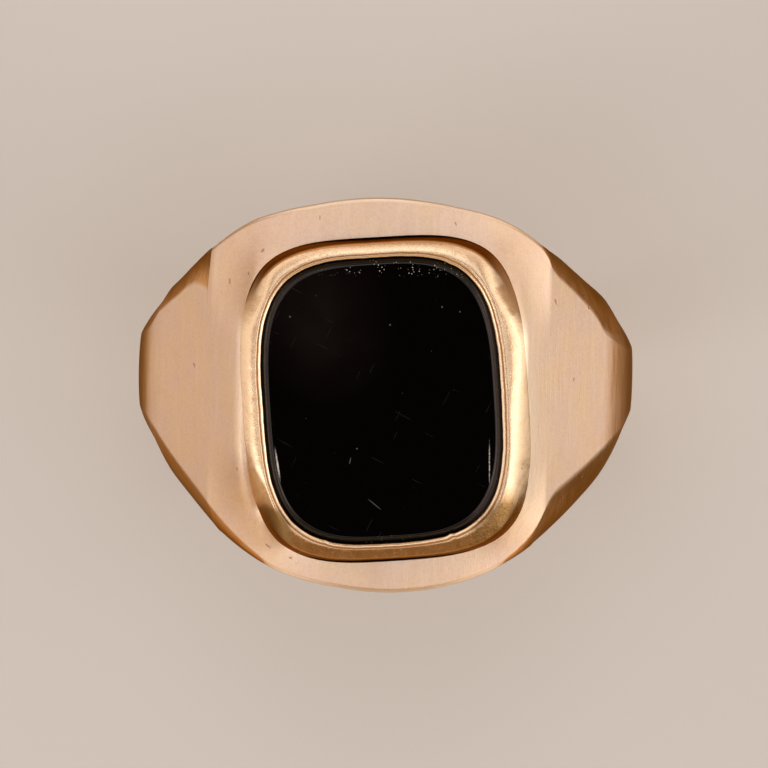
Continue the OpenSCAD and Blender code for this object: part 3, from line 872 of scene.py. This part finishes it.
def lamp(az, zen, r_out, r_in):
    """A round soft lamp at azimuth az from +X and zen from straight up."""
    a, e = az * DEG, zen * DEG
    d = g.vec("DOT_PRODUCT", way, (math.sin(e) * math.cos(a), math.sin(e) * math.sin(a), math.cos(e)))
    return g.step(d, math.cos(r_out * DEG), math.cos(r_in * DEG))


zen = g.m("ARCCOSINE", dz)
az_b = g.m("ARCTAN2", dx, g.mul(dy, -1.0))                      # 0 at -Y, growing towards +X
hole = g.vec("DOT_PRODUCT", way, (-0.0149, -0.0863, 0.9962))   # what the flat stone shows: left dark
light = g.add(
    g.mul(win(az_r, -58, -40, 62, 88), win(zen, 33, 48, 68, 84), g.add(0.68, g.mul(win(az_r, -26, -10, 16, 34), 0.58))),    # right, high
    g.mul(win(az_l, -58, -40, 62, 88), win(zen, 33, 47, 62, 78), 0.88),    # left, high
    g.mul(win(az_l, -21, -10, 11, 22), win(el, -52, -41, 12, 28), 0.85),   # left, low
    g.mul(win(az_r, 50, 86, 94, 130), win(zen, 14, 22, 40, 54), 0.95),     # beyond the head
    g.mul(lamp(209, 47, 11, 5), 2.6), g.mul(lamp(-18, 48, 11, 5), 1.7))
side = g.mul(g.m("MAXIMUM", win(az_r, -18, -9, 5, 15), g.mul(win(az_r, -38, -25, 10, 22), g.step(el, -26 * DEG, -12 * DEG))),
             win(el, -44, -35, 14, 32), g.step(el, -37 * DEG, -8 * DEG, 0.83, 1.40))    # right, low
warm = g.add(
    g.mul(win(az_r, -78, -60, -44, -26), win(el, -62, -46, 0, 24), 0.36),   # right, towards the viewer
    g.mul(win(az_r, 12, 34, 60, 78), win(el, -62, -46, 0, 24), 0.28),       # right, away
    g.mul(win(az_l, -80, -62, -28, -15), win(el, -62, -46, 0, 24), 0.27),  # left, towards the viewer
    g.mul(win(az_l, 11, 22, 60, 78), win(el, -62, -46, 0, 24), 0.20))      # left, away
above = g.mul(g.step(hole, math.cos(9.5 * DEG), math.cos(13 * DEG)), g.step(zen, 36 * DEG, 23 * DEG), g.step(dy, 0.30, -0.30, 0.88, 1.10), g.step(g.m("ABSOLUTE", dx), 0.22, 0.50, 1.0, 0.86))
base = g.mul(g.add(0.05, g.mul(g.step(el, -65 * DEG, 10 * DEG), 0.13), g.mul(g.step(dy, -0.35, 0.45), 0.05)),
             g.step(hole, math.cos(5.5 * DEG), math.cos(11 * DEG), 0.18, 1.0), g.step(el, -70 * DEG, -42 * DEG))
horizon = g.mul(g.step(g.m("ABSOLUTE", dy), 0.55, 0.85), win(el, -55, -30, 22, 40), 0.30)
under = g.step(el, -40 * DEG, -68 * DEG, 0.0, 0.26)
south = g.mul(g.step(dy, -0.2, -0.65), g.step(el, -62 * DEG, -25 * DEG), 0.20)
glow = g.vec("ADD", g.vec("SCALE", (1.0, 0.97, 0.93), light), g.vec("SCALE", (0.95, 1.01, 1.06), above))
glow = g.vec("ADD", glow, g.vec("ADD", g.vec("SCALE", (0.97, 0.98, 0.96), side), g.vec("SCALE", (1.0, 0.86, 0.69), g.add(under, horizon))))
glow = g.vec("ADD", glow, g.vec("ADD", g.vec("SCALE", (1.0, 0.46, 0.15), base), g.vec("SCALE", (1.0, 0.74, 0.46), g.add(south, warm))))
bg = g.new("ShaderNodeBackground")
g.put(glow, bg.inputs["Color"])
plain = g.new("ShaderNodeBackground")
plain.inputs["Color"].default_value = (0.78, 0.77, 0.75, 1)
mix = g.new("ShaderNodeMixShader")
lp = g.new("ShaderNodeLightPath")
g.put(lp.outputs["Is Camera Ray"], mix.inputs[0])
g.put(bg.outputs[0], mix.inputs[1])
g.put(plain.outputs[0], mix.inputs[2])
outw = g.new("ShaderNodeOutputWorld")
g.put(mix.outputs[0], outw.inputs[0])

# camera: a long lens almost straight above the stone, leaning a little to +Y and +X, the ring turned slightly in the frame
TILT, LEAN, CAM_ROLL, DIST, SCALE = math.radians(4.95), math.radians(0.854), math.radians(1.426), 350.0, 24.14
TARGET_PX = (381.10, 395.59)
d = Vector((math.sin(LEAN) * math.cos(TILT), math.sin(TILT), math.cos(LEAN) * math.cos(TILT))).normalized()
up = (Vector((0, 1, 0)) - d[1] * d).normalized()
rt = up.cross(d)
c, s = math.cos(CAM_ROLL), math.sin(CAM_ROLL)
cam_right = rt * c + up * s
cam_up = -rt * s + up * c
cam_data = bpy.data.cameras.new("camera")
cam = bpy.data.objects.new("camera", cam_data)
bpy.context.scene.collection.objects.link(cam)
cam_data.sensor_width = 36
cam_data.sensor_fit = "HORIZONTAL"
cam_data.lens = 36 * SCALE * DIST / 768
cam_data.clip_start, cam_data.clip_end = 0.001, 20
target = Vector((0, 0, 11.0)) * MM
pos = target + d * DIST * MM
pos += cam_right * ((384 - TARGET_PX[0]) / SCALE * MM) - cam_up * ((384 - TARGET_PX[1]) / SCALE * MM)
rot = Matrix((cam_right, cam_up, d)).transposed()
cam.matrix_world = Matrix.Translation(pos) @ rot.to_4x4()
bpy.context.scene.camera = cam
bpy.context.scene.view_settings.view_transform = "Standard"
